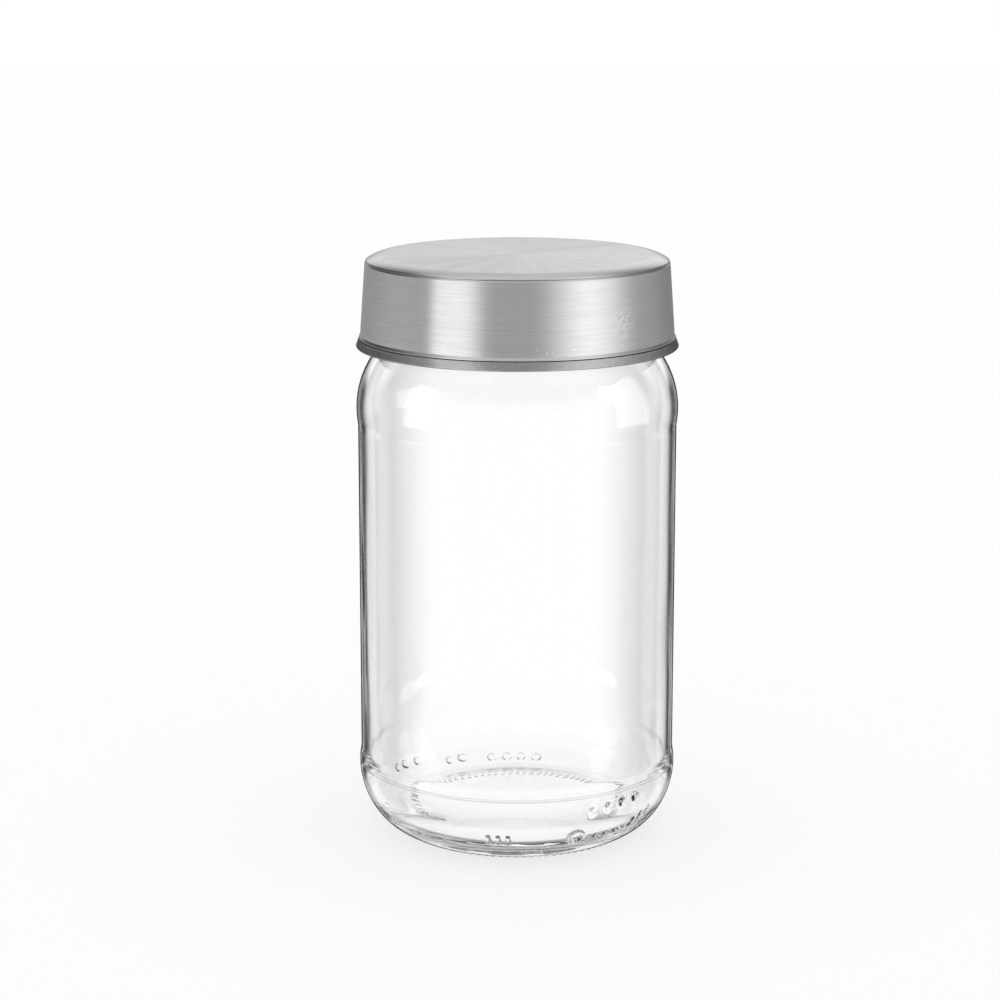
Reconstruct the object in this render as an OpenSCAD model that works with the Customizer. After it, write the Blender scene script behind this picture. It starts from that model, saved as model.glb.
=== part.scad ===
// Spice jar: a round glass jar with a steel-covered screw lid.
// Millimetres, +Z up, origin at the bottom centre of the jar.

/* [Jar body] */
// Diameter of the straight label panel
body_dia = 74.8; // [68:0.2:84]
// Thickness of the side wall
wall = 1.9; // [1.4:0.1:2.6]
// How far the shoulder stands out beyond the panel
shoulder_out = 0.35; // [0.1:0.05:1.5]
// Radius of the shoulder's profile
shoulder_round = 21.5; // [19:0.1:26]
// Height of the jar without its lid
jar_h = 134.8; // [110:0.2:160]

/* [Heel and base] */
// Height at which the heel curve is at its widest
heel_h = 15.9; // [12:0.1:20]
// How far the raised ring above the heel stands out beyond the panel
bumper_out = 0.35; // [0.1:0.05:1]
// Height of the raised ring's face
bumper_h = 1.7; // [0.5:0.1:4]
// Roundness of the heel curve, 2 is an ellipse
heel_power = 1.86; // [1.6:0.02:2.4]
// Outer diameter of the ring that the jar stands on
foot_dia = 52; // [46:0.5:56]
// Width of the flat on that ring
foot_w = 1.6; // [1:0.1:3]
// Height of the hollow under the base at its centre
push_up = 2; // [0.5:0.1:3]
// Width of the rounding between the foot ring and the hollow
push_up_round = 1.4; // [0.8:0.1:3]
// Height of the inner floor above the table
floor_z = 4.4; // [4:0.1:7]
// Extra height of the inner floor at its centre
floor_rise = 0.7; // [0.1:0.1:1.5]
// Radius of the corner between the inner wall and the floor
inner_heel_round = 10; // [6:0.5:12]

/* [Neck and thread] */
// Thickness of the neck's wall
neck_wall = 3; // [2.6:0.1:4]
// Distance from the rim down to the inside corner between neck and shoulder
neck_h = 17; // [15.5:0.1:20]
// Radius of the inside corner between shoulder and neck
neck_fillet = 1.5; // [1:0.1:2.5]
// Radius of the corner where the bore of the neck opens into the jar
bore_round = 3; // [1:0.1:4]
// Radius of the edges of the sealing rim
rim_round = 1.2; // [0.6:0.1:1.3]
// Least half width of the flat on the sealing rim
rim_flat = 0.05; // [0.05:0.05:0.3]
// Number of thread segments, and of lugs in the lid
starts = 4; // [3:1:4]
// Height that one full turn of the lid climbs
thread_lead = 16; // [15:0.5:20]
// How far the thread stands out of the neck
thread_depth = 1.4; // [1:0.1:1.5]
// Height of the thread at its root
thread_h = 1.6; // [1.2:0.1:1.7]
// Angle that one thread segment covers
thread_sweep = 62; // [40:1:65]
// Distance from the rim down to the middle of a thread segment
thread_drop = 6.4; // [5.5:0.1:8]

/* [Mould dots] */
// Radius of a raised dot on the heel
dot_r = 1.25; // [0.8:0.05:1.6]
// How far a dot stands out of the glass
dot_out = 0.5; // [0.2:0.05:0.7]
// Height of the front row of dots
front_dot_z = 14.4; // [8:0.1:16]
// Height of the rear rows of dots
rear_dot_z = 7.6; // [5:0.1:12]
// Angle between neighbouring dots
dot_pitch = 6.3; // [5:0.1:8]

/* [Lid shell] */
// Thickness of the steel
steel_t = 0.4; // [0.2:0.05:0.6]
// How much wider the wall is at its lower edge than at the crease, on the radius
wall_taper = 1.3; // [0.8:0.1:2]
// Width of the rounded border of the top
crown_w = 4.4; // [3:0.1:6]
// How far that border falls from the flat of the top to the crease
crown_drop = 0.9; // [0.5:0.05:1.2]
// Width and depth of the crease
crease = 0.15; // [0.05:0.01:0.18]
// How far the lower edge curls out
lip_out = 0.3; // [0.1:0.05:0.5]
// Height of that curl
lip_h = 0.9; // [0.5:0.1:1.5]

/* [Lid insert] */
// Thickness of the insert's top plate
plate_t = 1.4; // [1:0.1:2]
// Thickness of the insert's skirt
skirt_t = 1.45; // [1:0.05:2]
// Height of the rim that shows below the steel
rim_h = 2.1; // [1.5:0.1:2.8]
// How far the rim's lower edge stands out beyond the steel wall
rim_out = 1; // [0.7:0.1:1.6]
// How far that edge stays inside the widest point of the shoulder
rim_in = 0.05; // [0:0.05:1]
// How far the rim flares from its upper to its lower edge, on the radius
rim_flare = 0.6; // [0.2:0.05:0.9]
// Radius of the rim's lower edge
rim_round_r = 0.4; // [0.2:0.05:0.6]
// Chamfer at the mouth of the skirt
mouth_chamfer = 0.6; // [0.2:0.1:0.9]
// Cut at the top corner of the insert
corner_cut = 0.4; // [0.3:0.05:0.8]
// Height of the band that centres the steel above the rim
spigot_h = 2; // [1:0.1:4]
// Height of the slope above that band
spigot_slope = 1; // [0.5:0.1:3]
// Angle that one lug covers
lug_sweep = 14; // [8:1:20]
// Height of a lug at its root
lug_h = 1.6; // [1.2:0.1:1.7]

/* [Seal] */
// Thickness of the liner disc
liner_t = 1.3; // [0.8:0.1:2]

/* [Fits] */
// Gap between the lid's lower edge and the shoulder, below the skirt's bore
shoulder_gap = 1.4; // [0.8:0.1:2.5]
// Gap between the steel and the insert
shell_gap = 0.1; // [0.05:0.01:0.2]
// Gap between the thread's crest and the insert's skirt, on the radius
skirt_gap = 0.3; // [0.2:0.05:0.5]
// Gap between a lug's tip and the neck, on the radius
lug_gap = 0.4; // [0.3:0.05:0.6]
// Gap between a lug and the thread above it
thread_gap = 0.25; // [0.2:0.05:0.4]
// Gap between the liner and what it touches
liner_gap = 0.05; // [0.02:0.01:0.1]
// Gap between the liner's edge and the skirt, on the radius
liner_side_gap = 0.1; // [0.05:0.05:0.3]

/* [Hidden] */
round_fn = 180;
arc_steps = 14;
long_arc_steps = 18;
fillet_steps = 6;
small_steps = 3;
bite = 0.5;

body_r = body_dia / 2;
bumper_r = body_r + bumper_out;
bumper_top = heel_h + bumper_h;
shoulder_r = body_r + shoulder_out;
foot_r = foot_dia / 2;

// The lid's rim is flush with the shoulder, and the lid and neck fit inside it in turn.
rim_r = shoulder_r - rim_in;
skirt_r = rim_r - rim_out;
crease_r = skirt_r - wall_taper;
skirt_out_r = crease_r - crease - steel_t - shell_gap;
skirt_in_r = skirt_out_r - skirt_t;
thread_r = skirt_in_r - skirt_gap;
neck_r = thread_r - thread_depth;
mouth_r = neck_r - neck_wall;
rim_edge = min(rim_round, neck_wall / 2 - rim_flat);

// The shoulder is part of a ring that runs into the neck through a fillet.
shoulder_x = shoulder_r - shoulder_round;
function ring_height(x, ring_round) = sqrt(pow(ring_round, 2) - pow(x - shoulder_x, 2));
shoulder_z = jar_h - neck_h - ring_height(neck_r + neck_fillet, shoulder_round + neck_fillet);
shoulder_c = [shoulder_x, shoulder_z];

liner_z = jar_h + liner_gap;
plate_z = liner_z + liner_t + liner_gap;
plate_top = plate_z + plate_t;
lid_top = plate_top + shell_gap + steel_t;
rim_z = shoulder_z + ring_height(skirt_in_r, shoulder_round) + shoulder_gap;
rim_top = rim_z + rim_h;
shell_z = rim_top + shell_gap;
shell_h = lid_top - shell_z;
crease_z = lid_top - crown_drop;

thread_z = jar_h - thread_drop;
thread_tilt = atan(thread_lead / (2 * PI * thread_r));
lug_z = thread_z - (thread_h + lug_h) / 2 - thread_gap;
lug_tip_r = neck_r + lug_gap;

// Front and rear rows of dots: angle of the row's middle from the front, count, height.
dot_rows = [
    [37, 4, front_dot_z],
    [181, 4, rear_dot_z],
    [206.5, 2, rear_dot_z],
    [233, 3, rear_dot_z]
];

// Points along a round arc about a centre, from one angle to another.
function arc(centre, r, from, to, steps) = [
    for (i = [0:steps])
        let (a = from + (to - from) * i / steps)
        centre + r * [cos(a), sin(a)]
];

// A quarter of a superellipse, from its lowest point out and up to its widest.
function heel_curve(r_in, r_out, z_out, power, steps) = [
    for (i = [0:steps])
        let (a = 90 * i / steps)
        [r_in + (r_out - r_in) * pow(sin(a), 2 / power), z_out * (1 - pow(cos(a), 2 / power))]
];

// Radius of the heel's outer curve at a height above the table.
function heel_radius(z) =
    foot_r + (bumper_r - foot_r) * pow(1 - pow(1 - min(1, z / heel_h), heel_power), 1 / heel_power);

inner_shoulder_round = shoulder_round - wall;
panel_angle = acos((body_r - shoulder_x) / shoulder_round);

// Centre of a fillet against the shoulder's ring, and its angle as seen from the ring's centre.
function fillet_centre(x, ring_round) = [x, shoulder_z + ring_height(x, ring_round)];
function fillet_angle(x, ring_round) = acos((x - shoulder_x) / ring_round);

neck_fillet_c = fillet_centre(neck_r + neck_fillet, shoulder_round + neck_fillet);
neck_fillet_a = fillet_angle(neck_fillet_c[0], shoulder_round + neck_fillet);
bore_round_c = fillet_centre(mouth_r + bore_round, inner_shoulder_round + bore_round);
bore_round_a = fillet_angle(bore_round_c[0], inner_shoulder_round + bore_round);

inner_r = body_r - wall;
inner_heel_c = [inner_r - inner_heel_round, floor_z + inner_heel_round];
inner_panel_angle = acos((inner_r - shoulder_x) / inner_shoulder_round);

// The same points in the other order, and without the first one, which the stretch before shares.
function reversed(points) = [for (i = [len(points) - 1:-1:0]) points[i]];
function after_first(points) = [for (i = [1:len(points) - 1]) points[i]];

// Points along a shallow dome, from its top on the axis out to its edge.
function dome(r, z_mid, z_edge, steps) =
    let (rise = z_mid - z_edge, big_r = (r * r + rise * rise) / (2 * rise))
    [for (i = [0:steps]) let (x = r * i / steps) [x, z_mid - big_r + sqrt(big_r * big_r - x * x)]];

// The hollow under the base meets the foot ring in an S of two small arcs.
hollow_r = foot_r - foot_w - push_up_round;
hollow_edge = min(push_up * 0.45, push_up_round * 0.8);
hollow_s = (pow(push_up_round, 2) + pow(hollow_edge, 2)) / (4 * hollow_edge);
hollow_s_a = asin(push_up_round / 2 / hollow_s);

jar_outside = concat(
    heel_curve(foot_r, bumper_r, heel_h, heel_power, arc_steps),
    [[bumper_r, bumper_top], [body_r, bumper_top + bumper_out]],
    arc(shoulder_c, shoulder_round, -panel_angle, neck_fillet_a, long_arc_steps),
    after_first(arc(neck_fillet_c, neck_fillet, 180 + neck_fillet_a, 180, fillet_steps))
);

jar_rim = concat(
    arc([neck_r - rim_edge, jar_h - rim_edge], rim_edge, 0, 90, fillet_steps),
    arc([mouth_r + rim_edge, jar_h - rim_edge], rim_edge, 90, 180, fillet_steps)
);

jar_inside = concat(
    arc(bore_round_c, bore_round, 180, 180 + bore_round_a, fillet_steps),
    after_first(arc(shoulder_c, inner_shoulder_round, bore_round_a, -inner_panel_angle, long_arc_steps)),
    arc(inner_heel_c, inner_heel_round, 0, -90, arc_steps),
    after_first(reversed(dome(inner_heel_c[0], floor_z + floor_rise, floor_z, fillet_steps)))
);

jar_hollow = concat(
    dome(hollow_r, push_up, hollow_edge, fillet_steps),
    after_first(arc([hollow_r, hollow_edge - hollow_s], hollow_s, 90, 90 - hollow_s_a, small_steps)),
    after_first(arc([foot_r - foot_w, hollow_s], hollow_s, 270 - hollow_s_a, 270, small_steps))
);

// A ring segment with a wedge-shaped section, tilted to follow the thread's climb.
module helix_segment(root_r, tip_r, h, sweep) {
    tip_h = h * 0.5;
    rotate([thread_tilt, 0, 0])
        rotate([0, 0, -sweep / 2])
            rotate_extrude(angle = sweep, $fn = round_fn)
                polygon([[root_r, -h / 2], [tip_r, -tip_h / 2], [tip_r, tip_h / 2], [root_r, h / 2]]);
}

module thread_segments() {
    for (i = [0:starts - 1])
        rotate([0, 0, i * 360 / starts])
            translate([0, 0, thread_z])
                helix_segment(neck_r - bite, thread_r, thread_h, thread_sweep);
}

module lugs() {
    for (i = [0:starts - 1])
        rotate([0, 0, i * 360 / starts])
            translate([0, 0, lug_z])
                helix_segment(skirt_in_r + bite, lug_tip_r, lug_h, lug_sweep);
}

module mould_dots() {
    for (row = dot_rows)
        for (i = [0:row[1] - 1])
            rotate([0, 0, -90 + row[0] + (i - (row[1] - 1) / 2) * dot_pitch])
                translate([heel_radius(row[2]) - dot_r + dot_out, 0, row[2]])
                    sphere(r = dot_r, $fn = 32);
}

module glass_jar() {
    color([0.84, 0.9, 0.9, 0.4])
        union() {
            rotate_extrude($fn = round_fn)
                polygon(concat(jar_hollow, jar_outside, jar_rim, jar_inside));
            thread_segments();
            mould_dots();
        }
}

module seal_disc() {
    color([0.93, 0.93, 0.91])
        translate([0, 0, liner_z])
            cylinder(r = skirt_in_r - liner_side_gap, h = liner_t, $fn = round_fn);
}

crown_flat_r = crease_r - crown_w;
crown_round = (crown_w * crown_w + crown_drop * crown_drop) / (2 * crown_drop);
crown_c = [crown_flat_r, lid_top - crown_round];

// Angle on the crown's arc, from the horizontal, at which a concentric arc reaches a radius.
function crown_angle(r, arc_r) = acos((r - crown_flat_r) / arc_r);

module cap_insert() {
    rim_in = [rim_r - rim_round_r, rim_z + rim_round_r];
    seat_r = crown_round - steel_t - shell_gap;
    corner_r = skirt_out_r - corner_cut;
    spigot_r = skirt_r - steel_t - shell_gap - spigot_h * wall_taper / (shell_h - crown_drop);
    color([0.25, 0.26, 0.27])
        union() {
            rotate_extrude($fn = round_fn)
                polygon(concat(
                    [[0, plate_z], [skirt_in_r, plate_z]],
                    [[skirt_in_r, rim_z + mouth_chamfer], [skirt_in_r + mouth_chamfer, rim_z]],
                    arc(rim_in, rim_round_r, -90, 0, fillet_steps),
                    [[rim_r - rim_flare, rim_top]],
                    [[spigot_r, rim_top], [spigot_r, rim_top + spigot_h]],
                    [[skirt_out_r, rim_top + spigot_h + spigot_slope]],
                    [[skirt_out_r, crease_z - steel_t - shell_gap - 2 * corner_cut]],
                    arc(crown_c, seat_r, crown_angle(corner_r, seat_r), 90, fillet_steps),
                    [[0, plate_top]]
                ));
            lugs();
        }
}

module cap_shell() {
    wall_top_r = crease_r + crease;
    outside = concat(
        [[0, lid_top]],
        arc(crown_c, crown_round, 90, crown_angle(crease_r, crown_round), fillet_steps),
        [[crease_r - crease, crease_z - crease], [wall_top_r, crease_z - 2 * crease]],
        [[skirt_r, shell_z + lip_h], [skirt_r + lip_out, shell_z + steel_t], [skirt_r + lip_out, shell_z]]
    );
    inside = concat(
        [[skirt_r + lip_out - steel_t, shell_z], [skirt_r - steel_t, shell_z + lip_h]],
        arc(crown_c, crown_round - steel_t, crown_angle(wall_top_r - 2 * steel_t, crown_round - steel_t), 90,
            fillet_steps),
        [[0, lid_top - steel_t]]
    );
    color([0.74, 0.74, 0.73])
        rotate_extrude($fn = round_fn)
            polygon(concat(outside, inside));
}

glass_jar();
seal_disc();
cap_insert();
cap_shell();
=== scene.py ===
"""Looks of the spice jar: clear pressed glass, a brushed-steel lid, its plastic insert and its liner.

Lengths are in millimetres and become metres when a mesh is made. The jar stands on z = 0 with its axis
on x = y = 0, and the camera looks along +Y.
"""
import math

import bpy
import numpy as np
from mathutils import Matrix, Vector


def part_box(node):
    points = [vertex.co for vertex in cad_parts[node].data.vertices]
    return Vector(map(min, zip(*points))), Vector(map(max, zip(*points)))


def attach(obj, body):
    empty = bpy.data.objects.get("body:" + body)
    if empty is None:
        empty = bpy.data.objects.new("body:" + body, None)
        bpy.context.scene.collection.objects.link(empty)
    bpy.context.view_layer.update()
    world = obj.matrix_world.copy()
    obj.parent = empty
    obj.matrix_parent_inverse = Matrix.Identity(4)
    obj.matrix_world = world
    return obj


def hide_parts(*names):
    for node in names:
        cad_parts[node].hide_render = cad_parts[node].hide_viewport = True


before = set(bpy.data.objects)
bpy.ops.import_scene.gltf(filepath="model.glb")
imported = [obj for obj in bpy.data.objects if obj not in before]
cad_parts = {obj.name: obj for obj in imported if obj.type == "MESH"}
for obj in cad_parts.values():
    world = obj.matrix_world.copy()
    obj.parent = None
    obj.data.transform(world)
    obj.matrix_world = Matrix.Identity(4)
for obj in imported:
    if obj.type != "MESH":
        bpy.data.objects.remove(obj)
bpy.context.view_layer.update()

MM = 0.001
TAU = 2 * math.pi

# Places that come from the frame
jar_low, jar_high = (np.array(corner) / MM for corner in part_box("glass_jar"))
insert_low, insert_high = (np.array(corner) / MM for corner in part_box("cap_insert"))
shell_low, shell_high = (np.array(corner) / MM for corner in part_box("cap_shell"))
liner_low, liner_high = (np.array(corner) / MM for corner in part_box("seal_disc"))
SHOULDER_R = jar_high[0]
JAR_H = jar_high[2]
RIM_R = insert_high[0]
RIM_Z = insert_low[2]
PLATE_TOP = insert_high[2]
LID_TOP = shell_high[2]
SHELL_Z = shell_low[2]
LIP_R = shell_high[0]
LINER_R = liner_high[0]

# Jar
BODY_R = SHOULDER_R - 0.35
WALL = 1.9
HEEL_H = 15.9
HEEL_POWER = 1.86
BUMPER_TOP = 17.6
FOOT_R = 26.0
HOLLOW_TOP = 1.4
BASE_T = 4.1
INNER_FOOT_R = 28.5
INNER_HEEL_H = 11.0
SHOULDER_ROUND = 21.5
NECK_R = 31.6
MOUTH_R = 28.6
NECK_H = 17.0
NECK_FILLET = 1.5
BORE_ROUND = 3.0
RIM_ROUND = 1.2
THREAD_DEPTH = 1.4
THREAD_H = 1.6
THREAD_LEAD = 16.0
THREAD_SWEEP = math.radians(62)
THREAD_Z = JAR_H - 6.4
STARTS = 4

# Lid
STEEL_T = 0.4
CREASE = 0.15
CROWN_W = 4.4
CROWN_DROP = 1.4
# Share of the colour left in the crease under the crown: painted shade
CREASE_PAINTED_SHADE = 0.32
WALL_TAPER = 1.3
LIP_H = 0.9
LIP_OUT = 0.3
RIM_FLARE = 0.6
RIM_H = 2.1
SKIRT_IN_R = 33.3
SKIRT_T = 1.45
PLATE_T = 1.4
LUG_H = 1.6
LUG_GAP = 0.4
LUG_SWEEP = math.radians(14)
THREAD_GAP = 0.25
LUG_Z = THREAD_Z - (THREAD_H + LUG_H) / 2 - THREAD_GAP
LINER_ROUND = 0.3
SCUFF_AT = (26.0, 7.0)

# Camera, fitted to the outlines in the photograph
CAMERA_AT = (-4.05, -642.4, 220.27)
CAMERA_DOWN = math.radians(12.358)
CAMERA_LENS = 100.0
CAMERA_SENSOR = 36.0

# Light goes round inside the thick heel many times before it leaves
LIGHT_BOUNCES = 40


def arc(centre, r, start, end, count):
    """Points on a circle: centre plus r times (cos, sin) of an angle that runs evenly in degrees."""
    angle = np.radians(np.linspace(start, end, count))
    return np.stack([centre[0] + r * np.cos(angle), centre[1] + r * np.sin(angle)], 1)


def line(start, end, count):
    """Evenly spaced points on a straight line between two points."""
    step = np.linspace(0, 1, count)[:, None]
    return np.array(start) + (np.array(end) - np.array(start)) * step


def dome(r, z_mid, z_edge, count):
    """Points from the axis out along the round arc that falls from z_mid to z_edge at radius r."""
    rise = z_mid - z_edge
    big_r = (r * r + rise * rise) / (2 * rise)
    x = np.linspace(0, r, count)
    return np.stack([x, z_mid - big_r + np.sqrt(big_r ** 2 - x ** 2)], 1)


def swell(r, z_mid, z_edge, count):
    """Points from the axis out to r along z_edge + rise * (1 - x^2)^2, level at both ends."""
    x = np.linspace(0, 1, count)
    return np.stack([x * r, z_edge + (z_mid - z_edge) * (1 - x ** 2) ** 2], 1)


def heel_curve(start, end, count):
    """Outer heel: a superellipse quarter, r = foot + reach * sin^(2/p), z = knurl + height * (1 - cos^(2/p))."""
    a = np.radians(np.linspace(start, end, count))
    reach = SHOULDER_R - FOOT_R
    r = FOOT_R + reach * np.sin(a) ** (2 / HEEL_POWER)
    z = KNURL_H + (HEEL_H - KNURL_H) * (1 - np.cos(a) ** (2 / HEEL_POWER))
    return np.stack([r, z], 1)


def joined(*stretches):
    """One profile from several stretches, leaving out each point that repeats the one before it."""
    points = np.concatenate(stretches)
    step = np.linalg.norm(np.diff(points, axis=0), axis=1)
    return points[np.concatenate([[True], step > 1e-4])]


def smooth(x):
    """The step 3x^2 - 2x^3 between 0 and 1, flat outside."""
    x = np.clip(x, 0, 1)
    return x * x * (3 - 2 * x)


def lathe(name, sections):
    """A closed mesh from ring sections (r, z, turn), arrays of rows by columns in mm and radians.

    Each grid point lies at (r cos(turn), r sin(turn), z). The first and last rings close on the axis
    with a fan. Where two sections differ in columns, one ring holds a whole number of times the other's
    points, and the strip between them is made of triangles.
    """
    points, faces = [], []
    base = 1
    last = None
    lowest = (0.0, 0.0, float(sections[0][1][0].mean()) * MM)
    for r, z, turn in sections:
        rows, cols = r.shape
        points.append(np.stack([r * np.cos(turn), r * np.sin(turn), z], -1).reshape(-1, 3) * MM)
        index = base + np.arange(rows * cols).reshape(rows, cols)
        here, right = index, np.roll(index, -1, 1)
        quads = np.stack([here[:-1], right[:-1], right[1:], here[1:]], -1).reshape(-1, 4)
        faces.extend(quads.tolist())
        if last is None:
            faces.extend(np.stack([np.zeros(cols, int), right[0], here[0]], -1).tolist())
        else:
            faces.extend(stitch(last, index[0]))
        last = index[-1]
        base += rows * cols
    top = base
    faces.extend(np.stack([np.full(len(last), top), last, np.roll(last, -1)], -1).tolist())
    highest = (0.0, 0.0, float(sections[-1][1][-1].mean()) * MM)
    points = np.concatenate([[lowest], *points, [highest]])
    return mesh_object(name, points, faces)


def stitch(low, high):
    """Triangles and quads between two rings, where one ring has a whole number of times the other's points."""
    if len(low) == len(high):
        return np.stack([low, np.roll(low, -1), np.roll(high, -1), high], -1).tolist()
    fine, coarse = (low, high) if len(low) > len(high) else (high, low)
    times = len(fine) // len(coarse)
    first = np.repeat(coarse, times)
    after = np.repeat(np.roll(coarse, -1), times)
    half = np.arange(len(fine)) % times >= times // 2
    apex = np.where(half, after, first)
    fans = np.stack([fine, np.roll(fine, -1), apex], -1)
    middle = np.arange(len(coarse)) * times + times // 2
    bridges = np.stack([fine[middle], np.roll(coarse, -1), coarse], -1)
    if len(low) < len(high):
        fans, bridges = fans[:, ::-1], bridges[:, ::-1]
    return fans.tolist() + bridges.tolist()


def mesh_object(name, points, faces):
    """A smooth-shaded mesh object at the origin, with its place in its mesh."""
    mesh = bpy.data.meshes.new(name)
    mesh.from_pydata(points.tolist(), [], faces)
    mesh.shade_smooth()
    mesh.update()
    made = bpy.data.objects.new(name, mesh)
    bpy.context.scene.collection.objects.link(made)
    return made


def grid(profile, columns):
    """The radius, height and turn arrays of a profile spun into evenly spaced columns."""
    turn = np.linspace(0, TAU, columns, endpoint=False)[None, :]
    r, z = profile[:, :1], profile[:, 1:]
    return r + 0 * turn, z + 0 * turn, turn + 0 * r


# Jar: fine columns carry the foot's knurls and the mould marks, coarse ones the rest
FINE = 768
COARSE = 256
KNURLS = 96
KNURL_H = 0.32
KNURL_IN = 26.5
KNURL_OUT = 29.2
FRONT = -math.pi / 2
DOT_R = 1.3
DOT_ROWS = [(37, 4, 14.1, 0.38, 0.85), (181, 4, 5.2, 0, 0.7), (206.5, 2, 5.8, 0, 0.7), (233, 3, 7.4, 0, 0.7)]
DOT_PITCH = 6.3
SEAM_Z = HEEL_H + 1.0
SEAM_TURNS = (47.5, 227.5)
GROOVE_IN = 0.12
MARK_OUT = 0.5
BAR_R = 0.6
RING_MARK = (22.4, 7.2, 1.6)
BARS = [
    (-11, 7.1, 1.0, 0, 0.5), (-7.3, 7.1, 1.0, 0, 0.5), (-3.6, 7.1, 1.0, 0, 0.5),
    (31, 6.3, 0.4, 90, 0.5), (35, 6.5, 0.4, 90, 0.5), (39, 6.7, 0.4, 90, 0.45), (43, 7.0, 0.4, 90, 0.4),
    (48, 7.8, 0.9, 20, 0.3), (52, 8.6, 0.9, 20, 0.25), (56, 9.5, 0.9, 20, 0.2),
]


def turned_by(turn, angle):
    """Signed angle between a turn array and a direction, from -pi to pi."""
    return (turn - angle + math.pi) % TAU - math.pi


def dots(r, z, turn):
    """Relief of the mould dots: round caps, out * (1 - (d/a)^2)^0.55, where d is the distance to a centre."""
    relief = np.zeros_like(r)
    for middle, count, height, climb, out in DOT_ROWS:
        for step in np.arange(count) - (count - 1) / 2:
            angle = FRONT + math.radians(middle + step * DOT_PITCH)
            slope = 1.0 if height > 12 else 1.35
            away = np.hypot(turned_by(turn, angle) * r, (z - height - step * climb) * slope)
            relief = np.maximum(relief, out * np.clip(1 - (away / DOT_R) ** 2, 0, 1) ** 0.55)
    return relief


def marks(r, z, turn):
    """Relief of the mould marks: bars and a ring, out * (1 - (d/w)^2)^0.5, d from their middle line."""
    relief = np.zeros_like(r)
    for angle, height, half, lean, out in BARS:
        along = turned_by(turn, FRONT + math.radians(angle)) * r
        up = (z - height) * 1.15
        tilt = math.radians(lean)
        side = along * math.cos(tilt) - up * math.sin(tilt)
        long = np.maximum(np.abs(along * math.sin(tilt) + up * math.cos(tilt)) - half, 0)
        away = np.hypot(side, long) / BAR_R
        relief = np.maximum(relief, out * np.sqrt(np.clip(1 - away ** 2, 0, 1)))
    angle, height, ring_r = RING_MARK
    along = turned_by(turn, FRONT + math.radians(angle)) * r
    away = (np.hypot(along, (z - height) * 1.15) - ring_r) / BAR_R
    relief = np.maximum(relief, MARK_OUT * np.sqrt(np.clip(1 - away ** 2, 0, 1)))
    for angle in SEAM_TURNS:
        away = turned_by(turn, FRONT + math.radians(angle)) * r / 0.35
        relief = np.maximum(relief, 0.07 * np.clip(1 - away ** 2, 0, 1) * (z > 3))
    facing = smooth(0.5 + np.cos(turned_by(turn, FRONT)))
    return relief - GROOVE_IN * facing * (np.abs(z - SEAM_Z) < 0.06)


def step_curve(start, end, count):
    """Points from one radius to another with the smooth step 3x^2 - 2x^3 over the height between."""
    share = np.linspace(0, 1, count)
    r = start[0] + (end[0] - start[0]) * smooth(share)
    return np.stack([r, start[1] + (end[1] - start[1]) * share], 1)


def heel_normal(profile):
    """Outward unit normals of a profile, from its central differences turned by a quarter."""
    step = np.gradient(profile, axis=0)
    normal = np.stack([step[:, 1], -step[:, 0]], 1)
    return normal / np.linalg.norm(normal, axis=1, keepdims=True)


def knurls(r, z, turn):
    """Drop of the foot's knurls: bars (0.5 + 0.5 cos(n turn))^2 inside a ring, slanting as they go out."""
    ring = smooth((r - KNURL_IN) / 0.5) * smooth((KNURL_OUT - r) / 1.2)
    slant = 1.1 * (r - KNURL_IN)
    bar = (0.5 + 0.5 * np.cos(KNURLS * turn + slant)) ** 2
    return np.minimum(KNURL_H * ring * bar, z)


def raised_ring():
    """The ring that tops the heel, close points for the groove round its front, and the step to the panel."""
    return joined(
        line((SHOULDER_R, HEEL_H + 0.2), (SHOULDER_R, SEAM_Z - 0.25), 2),
        line((SHOULDER_R, SEAM_Z - 0.13), (SHOULDER_R, SEAM_Z + 0.13), 3),
        step_curve((SHOULDER_R, SEAM_Z + 0.25), (BODY_R, SEAM_Z + 3.25), 8),
    )


def inner_heel():
    """Inside of the heel: an ellipse quarter from the wall down to the floor's edge."""
    a = np.radians(np.linspace(90, 0, 22))
    reach = BODY_R - WALL - INNER_FOOT_R
    return np.stack([INNER_FOOT_R + reach * np.sin(a), BASE_T + (INNER_HEEL_H - BASE_T) * (1 - np.cos(a))], 1)


def jar_bottom():
    """Foot, heel and raised ring, with knurls, dots and raised marks pushed out along the normal."""
    profile = joined(
        heel_curve(0.5, 24, 14),
        heel_curve(25, 41, 6),
        heel_curve(42, 66, 24),
        heel_curve(67, 76, 5),
        heel_curve(77, 90, 10),
        raised_ring(),
        line((BODY_R, BUMPER_TOP + 2.9), (BODY_R, BUMPER_TOP + 3.5), 2),
    )
    r, z, turn = grid(profile, FINE)
    normal = heel_normal(profile)
    out = dots(r, z, turn) + marks(r, z, turn)
    drop = knurls(r, z, turn)
    return r + out * normal[:, :1], z + out * normal[:, 1:] - drop, turn


def wave(turn, z, seed, fewest, most, along, count=12):
    """A smooth wandering surface: the mean of sine waves, each with seeded waves a turn, climb and phase."""
    draw = np.random.default_rng(seed)
    total = 0 * turn * z
    for _ in range(count):
        total = total + np.sin(draw.integers(fewest, most) * turn + draw.uniform(-1, 1) * along * z
                               + draw.uniform(0, TAU))
    return total / count


def threads(turn, z):
    """Thread relief: a flat-topped ridge along each start's helix, fading out at both ends."""
    relief = np.zeros_like(z + turn)
    for start in range(STARTS):
        along = turned_by(turn, start * TAU / STARTS)
        rise = z - THREAD_Z - THREAD_LEAD * along / TAU
        ends = smooth((THREAD_SWEEP / 2 - np.abs(along)) / 0.08)
        flank = np.clip((THREAD_H / 2 - np.abs(rise)) / (THREAD_H / 4), 0, 1)
        relief = np.maximum(relief, THREAD_DEPTH * ends * smooth(flank))
    return relief


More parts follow.
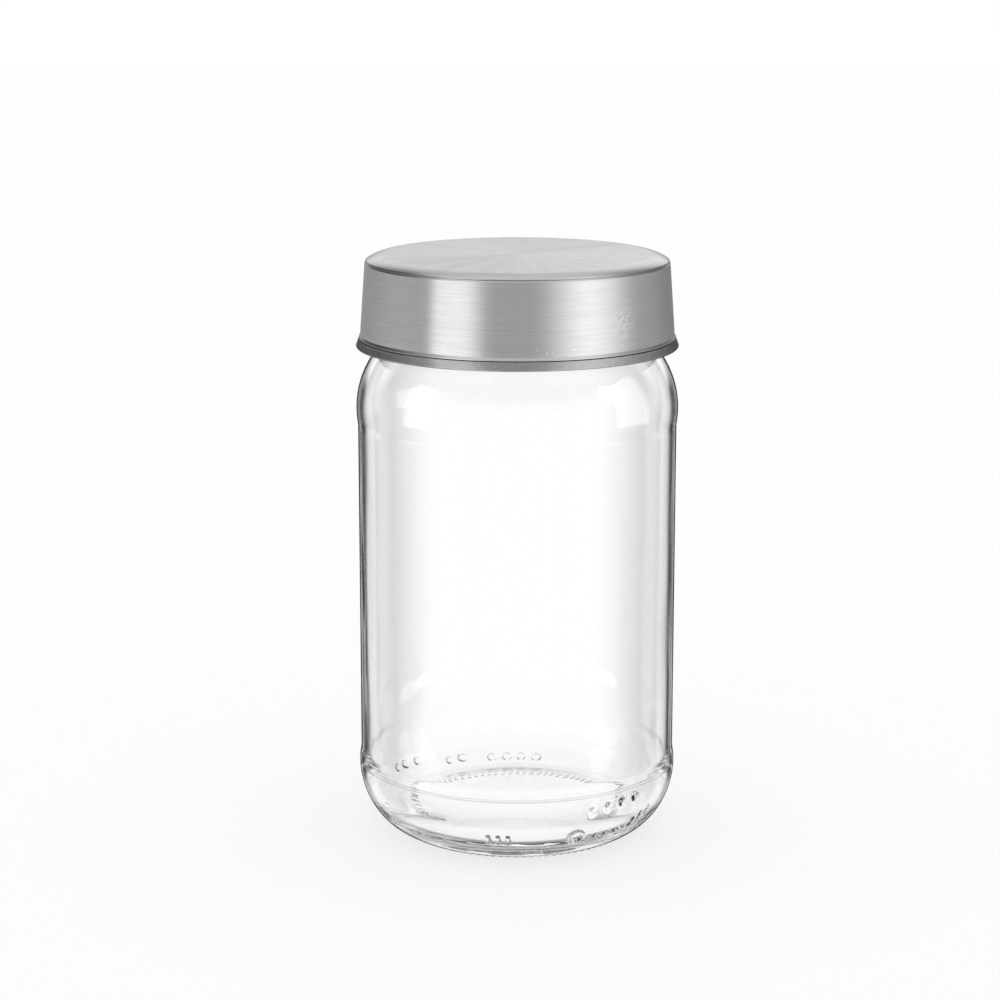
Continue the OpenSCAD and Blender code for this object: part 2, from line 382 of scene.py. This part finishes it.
def jar_sides():
    """Panel, shoulder, neck, rim and the whole inside down to the floor."""
    shoulder_x = SHOULDER_R - SHOULDER_ROUND
    fillet_x = NECK_R + NECK_FILLET
    reach = SHOULDER_ROUND + NECK_FILLET
    shoulder_z = JAR_H - NECK_H - math.sqrt(reach ** 2 - (fillet_x - shoulder_x) ** 2)
    shoulder = (shoulder_x, shoulder_z)
    panel_a = math.degrees(math.acos((BODY_R - shoulder_x) / SHOULDER_ROUND))
    fillet_a = math.degrees(math.acos((fillet_x - shoulder_x) / reach))
    inner_round = SHOULDER_ROUND - WALL
    bore_x = MOUTH_R + BORE_ROUND
    bore_reach = inner_round + BORE_ROUND
    bore_z = shoulder_z + math.sqrt(bore_reach ** 2 - (bore_x - shoulder_x) ** 2)
    bore_a = math.degrees(math.acos((bore_x - shoulder_x) / bore_reach))
    inner_r = BODY_R - WALL
    inner_panel_a = math.degrees(math.acos((inner_r - shoulder_x) / inner_round))
    panel_top = shoulder_z - SHOULDER_ROUND * math.sin(math.radians(panel_a))
    outside = joined(
        line((BODY_R, BUMPER_TOP + 4), (BODY_R, panel_top - 0.8), 10),
        arc(shoulder, SHOULDER_ROUND, -panel_a, fillet_a, 24),
        arc((fillet_x, JAR_H - NECK_H), NECK_FILLET, 180 + fillet_a, 180, 5),
        line((NECK_R, JAR_H - NECK_H + 2), (NECK_R, THREAD_Z - 3.6), 4),
        line((NECK_R, THREAD_Z - 3.4), (NECK_R, THREAD_Z + 3.4), 26),
        arc((NECK_R - RIM_ROUND, JAR_H - RIM_ROUND), RIM_ROUND, 0, 90, 8),
    )
    bore = joined(
        arc((MOUTH_R + RIM_ROUND, JAR_H - RIM_ROUND), RIM_ROUND, 90, 180, 8),
        line((MOUTH_R, JAR_H - 4), (MOUTH_R, bore_z + 2), 3),
        arc((bore_x, bore_z), BORE_ROUND, 180, 180 + bore_a, 5),
    )
    inside = joined(
        arc(shoulder, inner_round, bore_a, -inner_panel_a, 16)[1:],
        line((inner_r, panel_top - 0.8), (inner_r, INNER_HEEL_H + 1), 16),
        inner_heel(),
        (swell(FOOT_R, HOLLOW_TOP, 0, 12) + (0, BASE_T))[1:-1][::-1],
    )
    r, z, turn = grid(outside, COARSE)
    r = r + np.where(z > THREAD_Z - 3.5, threads(turn, z), 0) * (z < THREAD_Z + 3.5)
    inner_r_, inner_z, inner_turn = grid(inside, COARSE)
    calm = smooth((inner_z - 8) / 20) * smooth((96 - inner_z) / 12)
    inner_r_ = inner_r_ + calm * (0.1 * wave(inner_turn, inner_z, 5, 1, 8, 0.3)
                                  + 0.035 * wave(inner_turn, inner_z, 6, 20, 40, 0.12))
    return [(r, z, turn), grid(bore, COARSE), (inner_r_, inner_z, inner_turn)]


def glass_jar():
    """The jar as one closed shell, from the hollow under its base round to its inner floor."""
    hollow = grid(swell(FOOT_R, HOLLOW_TOP, KNURL_H, 12)[1:], COARSE)
    return lathe("jar_glass", [hollow, jar_bottom(), *jar_sides()])


def cap_shell():
    """Steel shell of the lid: crowned top, crease, tapered wall and curled lip, then back up inside."""
    rim_r = RIM_R
    skirt_r = LIP_R - LIP_OUT
    crease_r = skirt_r - WALL_TAPER
    crease_z = LID_TOP - CROWN_DROP
    crown_round = (CROWN_W ** 2 + CROWN_DROP ** 2) / (2 * CROWN_DROP)
    flat_r = crease_r - CROWN_W
    crown_a = math.degrees(math.acos((crease_r - flat_r) / crown_round))
    crown_c = (flat_r, LID_TOP - crown_round)
    inner_r = crease_r - STEEL_T - 0.25
    inner_crown = crown_round - STEEL_T
    inner_a = math.degrees(math.acos((inner_r - flat_r) / inner_crown))
    curl_r = LIP_OUT - 0.02
    profile = joined(
        dome(flat_r, LID_TOP - STEEL_T, LID_TOP - STEEL_T - 0.001, 12)[1:],
        arc(crown_c, inner_crown, 90, inner_a, 8),
        line((inner_r + 0.05, crease_z - STEEL_T - 0.3), (skirt_r - STEEL_T, SHELL_Z + LIP_H), 24),
        arc((skirt_r - STEEL_T + 0.7, SHELL_Z + 0.3), 0.7, 180, 215, 4),
        line((skirt_r + 0.05, SHELL_Z), (LIP_R - 0.12, SHELL_Z), 3),
        arc((LIP_R - 0.16, SHELL_Z + 0.16), 0.16, -80, 60, 6),
        arc((skirt_r + curl_r + 0.02, SHELL_Z + LIP_H), 0.35, 250, 180, 5)[1:],
        line((skirt_r - 0.03, SHELL_Z + LIP_H + 0.5), (crease_r + CREASE + 0.01, crease_z - 0.75), 30),
        arc((crease_r + CREASE - 0.3, crease_z - 0.6), 0.3, 0, 60, 5),
        line((crease_r - 0.08, crease_z - 0.24), (crease_r - 0.1, crease_z - 0.12), 2),
        arc((crease_r - 0.2, crease_z - 0.2 + 0.05), 0.2, 40, 66, 3),
        arc(crown_c, crown_round, crown_a + 1, 90, 14),
        dome(flat_r, LID_TOP, LID_TOP - 0.001, 14)[::-1][1:-1],
    )
    return lathe("lid_shell", [grid(profile, 384)])


def lugs(turn, z):
    """Lug relief: a flat-topped ridge along each start's helix, a little below the thread."""
    relief = np.zeros_like(z + turn)
    for start in range(STARTS):
        along = turned_by(turn, start * TAU / STARTS)
        rise = z - LUG_Z - THREAD_LEAD * along / TAU
        ends = smooth((LUG_SWEEP / 2 - np.abs(along)) / 0.03)
        flank = np.clip((LUG_H / 2 - np.abs(rise)) / (LUG_H / 4), 0, 1)
        relief = np.maximum(relief, (SKIRT_IN_R - NECK_R - LUG_GAP) * ends * smooth(flank))
    return relief


def cap_insert():
    """Plastic insert: plate underside, skirt with its lugs, flared rim, spigot and the plate's top."""
    plate_z = PLATE_TOP - PLATE_T
    skirt_out = SKIRT_IN_R + SKIRT_T
    rim_top = RIM_Z + RIM_H
    spigot_r = LIP_R - LIP_OUT - STEEL_T - 0.25
    upper = joined(
        line((2, plate_z), (SKIRT_IN_R - 0.4, plate_z), 12),
        arc((SKIRT_IN_R - 0.4, plate_z - 0.4), 0.4, 90, 0, 4),
    )
    skirt = line((SKIRT_IN_R, plate_z - 1), (SKIRT_IN_R, RIM_Z + 0.7), 48)
    outer = joined(
        arc((SKIRT_IN_R + 0.6, RIM_Z + 0.6), 0.6, 180, 270, 5),
        line((SKIRT_IN_R + 1, RIM_Z), (RIM_R - 0.5, RIM_Z), 5),
        arc((RIM_R - 0.35, RIM_Z + 0.35), 0.35, -90, 8, 7),
        line((RIM_R - 0.06, RIM_Z + 0.5), (RIM_R - RIM_FLARE + 0.06, rim_top - 0.3), 5),
        arc((RIM_R - RIM_FLARE - 0.14, rim_top - 0.25), 0.2, 20, 90, 4),
        line((RIM_R - RIM_FLARE - 0.3, rim_top - 0.05), (spigot_r + 0.02, rim_top - 0.05), 3),
        line((spigot_r, rim_top), (spigot_r, rim_top + 1.9), 3),
        line((skirt_out, rim_top + 3), (skirt_out, PLATE_TOP - 1.5), 6),
        arc((skirt_out - 1.2, PLATE_TOP - 1.6), 1.2, 0, 70, 5),
        line((31, PLATE_TOP - 0.02), (1, PLATE_TOP - 0.02), 8),
    )
    skirt_r, skirt_z, skirt_turn = grid(skirt, 384)
    skirt_r = skirt_r - lugs(skirt_turn, skirt_z)
    return lathe("lid_insert", [grid(upper, 384), (skirt_r, skirt_z, skirt_turn), grid(outer, 384)])


def seal_disc():
    """Liner: a flat foam disc with rounded edges and two shallow pressed rings on its underside."""
    low, high = liner_low[2], liner_high[2]
    edge = LINER_R - LINER_ROUND
    under = line((2, low), (edge, low), 90)
    pressed = 0.12 * (np.exp(-((under[:, 0] - 30.1) / 0.8) ** 2) + np.exp(-((under[:, 0] - 25) / 0.5) ** 2))
    under[:, 1] += pressed
    profile = joined(
        under,
        arc((edge, low + LINER_ROUND), LINER_ROUND, -90, 0, 5)[1:],
        arc((edge, high - LINER_ROUND), LINER_ROUND, 0, 90, 5),
        line((edge, high), (2, high), 8)[1:],
    )
    return lathe("seal_liner", [grid(profile, 256)])


class Socket:
    """A node's output. Arithmetic on it adds Math nodes, and node() adds any other node."""

    def __init__(self, tree, output=None):
        self.tree = tree
        self.output = output

    def node(self, kind, settings=None, sockets=None, out=0):
        """A new node: its settings first, ramp stops among them, then its sockets' values or links."""
        made = self.tree.nodes.new(kind)
        for name, value in (settings or {}).items():
            if name == "stops":
                set_stops(made.color_ramp, value)
            else:
                setattr(made, name, value)
        for name, value in (sockets or {}).items():
            if isinstance(value, Socket):
                self.tree.links.new(value.output, made.inputs[name])
            else:
                made.inputs[name].default_value = value
        return Socket(self.tree, made.outputs[out])

    def sibling(self, out):
        """Another output of the same node."""
        return Socket(self.tree, self.output.node.outputs[out])

    def math(self, operation, *values):
        """A Math node on these values."""
        return self.node("ShaderNodeMath", {"operation": operation}, dict(enumerate(values)))

    def __add__(self, other):
        return self.math("ADD", self, other)

    def __radd__(self, other):
        return self.math("ADD", other, self)

    def __sub__(self, other):
        return self.math("SUBTRACT", self, other)

    def __rsub__(self, other):
        return self.math("SUBTRACT", other, self)

    def __mul__(self, other):
        return self.math("MULTIPLY", self, other)

    def __rmul__(self, other):
        return self.math("MULTIPLY", other, self)

    def __truediv__(self, other):
        return self.math("DIVIDE", self, other)

    def __rtruediv__(self, other):
        return self.math("DIVIDE", other, self)

    def __abs__(self):
        return self.math("ABSOLUTE", self)

    def ramp(self, start, end):
        """0 below start and 1 above end, with a smooth rise between; it falls where start is above end."""
        if start > end:
            return 1 - self.ramp(end, start)
        return self.node("ShaderNodeMapRange", {"interpolation_type": "SMOOTHSTEP"},
                         {"Value": self, "From Min": start, "From Max": end})

    def band(self, start, end, edge):
        """1 between two values and 0 outside, with soft edges this wide."""
        return self.ramp(start - edge, start + edge) * self.ramp(end + edge, end - edge)

    def blend(self, low, high):
        """The value low where this one is 0 and high where it is 1."""
        return low + (high - low) * self


def set_stops(ramp, stops):
    """A colour ramp's stops: pairs of a place from 0 to 1 and a grey or a colour."""
    while len(ramp.elements) > 1:
        ramp.elements.remove(ramp.elements[-1])
    for i, (place, colour) in enumerate(stops):
        element = ramp.elements[0] if i == 0 else ramp.elements.new(place)
        element.position = place
        element.color = (colour,) * 3 + (1,) if isinstance(colour, (int, float)) else (*colour, 1)


def material(name, **values):
    """A new material's Principled shader with its uniform values set, and a start for its nodes."""
    made = bpy.data.materials.new(name)
    made.use_nodes = True
    shader = made.node_tree.nodes["Principled BSDF"]
    for socket, value in values.items():
        shader.inputs[socket.replace("_", " ")].default_value = value
    return made, shader, Socket(made.node_tree)


def feed(shader, socket, value):
    """Links a worked-out value to one of the shader's sockets."""
    value.tree.links.new(value.output, shader.inputs[socket])


def place(start):
    """Object coordinates in millimetres: x, y, z and the distance from the jar's axis."""
    here = start.node("ShaderNodeTexCoord", out="Object")
    split = here.node("ShaderNodeSeparateXYZ", sockets={0: here})
    x, y, z = split / MM, split.sibling(1) / MM, split.sibling(2) / MM
    r = x.math("SQRT", x * x + y * y)
    return x, y, z, r


# Painted shade on the glass by how edge on it is seen: from face on, through the dip that darkens its side bands,
# to edge on
GLASS_EDGE_SHADE = [(0.0, 1.0), (0.2, 1.0), (0.44, 0.89), (0.54, 0.95), (0.62, 1.0), (0.8, 0.88), (0.95, 0.25)]


def clear_glass():
    """Clear pressed glass, with painted shade where it is seen edge on and in its side bands, and a painted dark
    line along the groove round its front.
    """
    made, shader, start = material("clear glass", Roughness=0.0, IOR=1.5, Transmission_Weight=1.0)
    facing = start.node("ShaderNodeLayerWeight", sockets={"Blend": 0.5}, out="Facing")
    # Painted shade: the glass colour darkens by how edge on it is seen
    tint = facing.node("ShaderNodeValToRGB", {"stops": GLASS_EDGE_SHADE},
                       {"Fac": facing})
    x, y, z, r = place(start)
    # Painted shade: a dark line along the groove, on the front half only
    groove_shade_mask = z.band(SEAM_Z - 0.12, SEAM_Z + 0.12, 0.05) * y.ramp(12, -6)
    groove_shade = groove_shade_mask.blend(1.0, 0.62)
    shade = tint * groove_shade
    feed(shader, "Base Color", shade.node("ShaderNodeCombineColor", sockets={0: shade, 1: shade, 2: shade}))
    return made


def scuffs(start, around, up):
    """Short slanting scratches in a patch on the lid's wall, from -1 to 1, by length round the wall and height."""
    along = (around + up) * 0.35
    across = (around - up) * 3.2
    slanted = start.node("ShaderNodeCombineXYZ", sockets={"X": along, "Y": across})
    lines = start.node("ShaderNodeTexNoise", sockets={"Vector": slanted, "Scale": 1.0, "Detail": 1.0})
    side, rise = around - SCUFF_AT[0], up - SCUFF_AT[1]
    away = side.math("SQRT", side * side + rise * rise * 0.8)
    return (lines.ramp(0.5, 0.6) * 2 - 1) * away.ramp(4.5, 1.0)


def nicks(start, around, up):
    """A few bright specks along the lower edge of the lid's wall."""
    spot = start.node("ShaderNodeCombineXYZ", sockets={"X": around, "Y": up})
    specks = start.node("ShaderNodeTexVoronoi", sockets={"Vector": spot, "Scale": 0.45})
    return specks.ramp(0.16, 0.08) * up.band(0.8, 4.5, 0.5)


def brushed_steel():
    """Steel brushed round the axis: long fine strokes in colour, roughness and relief, with painted shade in the
    crease and painted radial sunburst streaks on the top.
    """
    made, shader, start = material("brushed steel", Metallic=1.0, Anisotropic=0.75,
                                   Anisotropic_Rotation=0.25)
    x, y, z, r = place(start)
    across = r - z
    strokes = []
    for length, pitch in ((1.6, 7.0), (5.0, 2.6)):
        point = start.node("ShaderNodeCombineXYZ", sockets={
            "X": x / r * length, "Y": y / r * length, "Z": across * pitch})
        strokes.append(start.node("ShaderNodeTexNoise", {"noise_dimensions": "3D"}, {
            "Vector": point, "Scale": 1.0, "Detail": 2.0, "Roughness": 0.6}))
    brush = strokes[0] * 0.6 + strokes[1] * 0.4
    # Painted reflection: faint radial sunburst streaks in the colour of the top
    spoke = start.node("ShaderNodeCombineXYZ", sockets={"X": x / r * 9, "Y": y / r * 9, "Z": r * 0.02})
    sunburst_streaks = start.node("ShaderNodeTexNoise", sockets={"Vector": spoke, "Scale": 1.0, "Detail": 3.0})
    on_top = z.ramp(LID_TOP - 0.5, LID_TOP - 0.1)
    # Painted shade in the crease under the crown
    crease = z.band(LID_TOP - CROWN_DROP - 0.2, LID_TOP - CROWN_DROP, 0.08)
    rays = 1 + on_top * (sunburst_streaks.ramp(0.3, 0.7) - 0.5) * 0.12
    around, up = x.math("ARCTAN2", x, 0 - y) * r, z - SHELL_Z
    scuff, nick = scuffs(start, around, up), nicks(start, around, up)
    plain = brush.ramp(0.2, 0.8).blend(0.56, 0.68) * rays * crease.blend(1.0, CREASE_PAINTED_SHADE)
    grey = plain - scuff * 0.07 + nick * 0.16
    colour = grey.node("ShaderNodeCombineColor", sockets={0: grey * 0.995, 1: grey, 2: grey * 1.005})
    feed(shader, "Base Color", colour)
    feed(shader, "Roughness", brush.ramp(0.2, 0.8).blend(0.3, 0.24) + (scuff + nick) * 0.12)
    height = brush - (scuff + nick) * 0.5
    bump = brush.node("ShaderNodeBump", sockets={"Height": height, "Strength": 0.12, "Distance": 0.00003})
    feed(shader, "Normal", bump)
    return made


def grey_plastic():
    """Dark grey glossy moulded plastic with a faint orange peel and a dull edge tint."""
    made, shader, start = material("grey plastic", IOR=1.6, Coat_IOR=1.6, Metallic=0.85, Coat_Weight=0.15,
                                   Coat_Roughness=0.12, Specular_Tint=(0.0, 0.0, 0.0, 1))
    x, y, z, r = place(start)
    point = start.node("ShaderNodeCombineXYZ", sockets={"X": x, "Y": y, "Z": z})
    peel = start.node("ShaderNodeTexNoise", sockets={"Vector": point, "Scale": 1.1, "Detail": 3.0})
    grey = peel.ramp(0.3, 0.7).blend(0.39, 0.44)
    feed(shader, "Base Color", grey.node("ShaderNodeCombineColor", sockets={0: grey, 1: grey, 2: grey}))
    feed(shader, "Roughness", peel.ramp(0.3, 0.7).blend(0.17, 0.23))
    bump = peel.node("ShaderNodeBump", sockets={"Height": peel, "Strength": 0.15, "Distance": 0.00005})
    feed(shader, "Normal", bump)
    return made


def liner_foam():
    """White closed-cell foam with fine cells."""
    made, shader, start = material("liner foam", IOR=1.45)
    x, y, z, r = place(start)
    point = start.node("ShaderNodeCombineXYZ", sockets={"X": x, "Y": y, "Z": z})
    cells = start.node("ShaderNodeTexVoronoi", sockets={"Vector": point, "Scale": 2.4})
    grey = cells.ramp(0.1, 0.7).blend(0.78, 0.86)
    feed(shader, "Base Color", grey.node("ShaderNodeCombineColor", sockets={0: grey, 1: grey * 0.99,
                                                                              2: grey * 0.96}))
    feed(shader, "Roughness", cells.ramp(0, 0.8).blend(0.55, 0.7))
    bump = cells.node("ShaderNodeBump", sockets={"Height": cells, "Strength": 0.3, "Distance": 0.0001})
    feed(shader, "Normal", bump)
    return made


def studio():
    """White studio round the jar, as rays of each kind find it.

    The camera sees plain white and matt surfaces a plain level. Glass sees white that dims overhead,
    and its reflections have dark cards at the sides, at the back and overhead, and two windows. Metal and plastic
    reflect a grey room with a white ceiling and two tall softboxes. Angles are degrees from the side the
    camera stands on, positive to the right.
    """
    world = bpy.data.worlds.new("studio")
    world.use_nodes = True
    bpy.context.scene.world = world
    tree = world.node_tree
    tree.nodes.clear()
    start = Socket(tree)
    way = start.node("ShaderNodeTexCoord", out="Generated")
    x = way.node("ShaderNodeSeparateXYZ", sockets={0: way})
    y, z = x.sibling(1), x.sibling(2)
    degrees = 180 / math.pi
    lift = z.math("ARCSINE", z) * degrees
    turn = x.math("ARCTAN2", x, 0 - y) * degrees
    path = start.node("ShaderNodeLightPath", out="Is Camera Ray")
    camera, glossy = path, path.sibling("Is Glossy Ray")
    through, mirror = path.sibling("Is Transmission Ray"), path.sibling("Is Singular Ray")

    reflected = path.sibling("Glossy Depth").math("MINIMUM", path.sibling("Glossy Depth"), 1)
    off = abs(turn)
    side_card = off.ramp(60, 108) * off.ramp(130, 117) * lift.ramp(-42, -28) * lift.ramp(60, 40)
    rear_card = off.ramp(139, 150) * (1 - off.band(158, 163, 1.5) * 0.6) * lift.band(-36, 0, 4) * 0.97
    top_card = off.ramp(130, 90) * lift.ramp(15, 40)
    cards = (1 - side_card) * (1 - rear_card) * (1 - top_card * 0.8)
    window_left = (turn * -1).band(66, 89, 0.4) * lift.band(-9.8, 32, 0.3)
    window_right = turn.band(76, 108, 0.4) * lift.band(-9.8, 32, 0.3)
    in_glass = cards + (window_left + window_right) * 1.5
    under_jar = lift.ramp(-55, -35).blend(0.38, 1.0) * lift.ramp(-78, -62).blend(0.2, 1.0)
    seen_through = reflected.blend(lift.ramp(25, 50).blend(1.0, 0.35), in_glass) * under_jar

    box_left = turn.ramp(-69, -62) * turn.ramp(-20, -40)
    box_right = turn.ramp(10, 54) * turn.ramp(102, 54)
    side_grey = turn.ramp(-60, -100) * 0.1
    low_room = off.ramp(95, 160).blend(0.54, 0.28) + side_grey + box_left * 0.95 + box_right * 1.0
    sides = turn.ramp(-60, -125).blend(0.47, 0.08) * turn.ramp(95, 135).blend(1.0, 0.4)
    rear_sky = off.ramp(148, 168) * lift.band(4, 44, 6)
    high_room = sides + box_left * 0.72 + box_right * 0.88 + rear_sky * 0.87
    upper_room = lift.ramp(42, 56).blend(high_room, 0.85)
    in_metal = lift.ramp(0, 10).blend(low_room, upper_room)

    plain = 0.95
    mirrored = mirror.blend(in_metal, in_glass)
    bounced = glossy.blend(plain, mirrored)
    passed = through.blend(bounced, seen_through)
    strength = camera.blend(passed, 1.0)
    ground = start.node("ShaderNodeBackground", sockets={"Color": (1, 1, 1, 1), "Strength": strength})
    end = tree.nodes.new("ShaderNodeOutputWorld")
    tree.links.new(ground.output, end.inputs["Surface"])


def floor():
    """Pale floor: mostly plain white light, and enough matt white to keep the jar's soft shadow."""
    half = 3.0
    mesh = bpy.data.meshes.new("floor")
    mesh.from_pydata([(-half, -half, 0), (half, -half, 0), (half, half, 0), (-half, half, 0)], [],
                     [(0, 1, 2, 3)])
    made = bpy.data.objects.new("floor", mesh)
    bpy.context.scene.collection.objects.link(made)
    paint = bpy.data.materials.new("floor")
    paint.use_nodes = True
    tree = paint.node_tree
    tree.nodes.clear()
    start = Socket(tree)
    matt = start.node("ShaderNodeBsdfDiffuse", sockets={"Color": (1, 1, 1, 1)})
    glow = start.node("ShaderNodeEmission", sockets={"Color": (1, 1, 1, 1), "Strength": 1.0})
    mixed = start.node("ShaderNodeMixShader", sockets={"Fac": 0.75, 1: matt, 2: glow})
    end = tree.nodes.new("ShaderNodeOutputMaterial")
    tree.links.new(mixed.output, end.inputs["Surface"])
    mesh.materials.append(paint)
    made.visible_glossy = False
    made.visible_transmission = False
    return made


def camera():
    """The camera at the photograph's height, distance and tilt."""
    data = bpy.data.cameras.new("camera")
    data.lens = CAMERA_LENS
    data.sensor_width = CAMERA_SENSOR
    data.clip_start = 0.01
    made = bpy.data.objects.new("camera", data)
    made.location = [value * MM for value in CAMERA_AT]
    made.rotation_euler = (math.pi / 2 - CAMERA_DOWN, 0, 0)
    bpy.context.scene.collection.objects.link(made)
    bpy.context.scene.camera = made


PIECES = [
    (glass_jar, clear_glass, "glass_jar", "jar", "clear_glass"),
    (seal_disc, liner_foam, "seal_disc", "seal", "liner"),
    (cap_insert, grey_plastic, "cap_insert", "lid", "grey_plastic"),
    (cap_shell, brushed_steel, "cap_shell", "lid", "brushed_steel"),
]

camera()
studio()
floor()
for shape, finish_of, node, body, slot in PIECES:
    piece = shape()
    piece.data.materials.append(finish_of())
    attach(piece, body)
    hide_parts(node)

scene = bpy.context.scene
scene.view_settings.view_transform = "Standard"
scene.cycles.max_bounces = LIGHT_BOUNCES
scene.cycles.transmission_bounces = LIGHT_BOUNCES
scene.cycles.glossy_bounces = LIGHT_BOUNCES
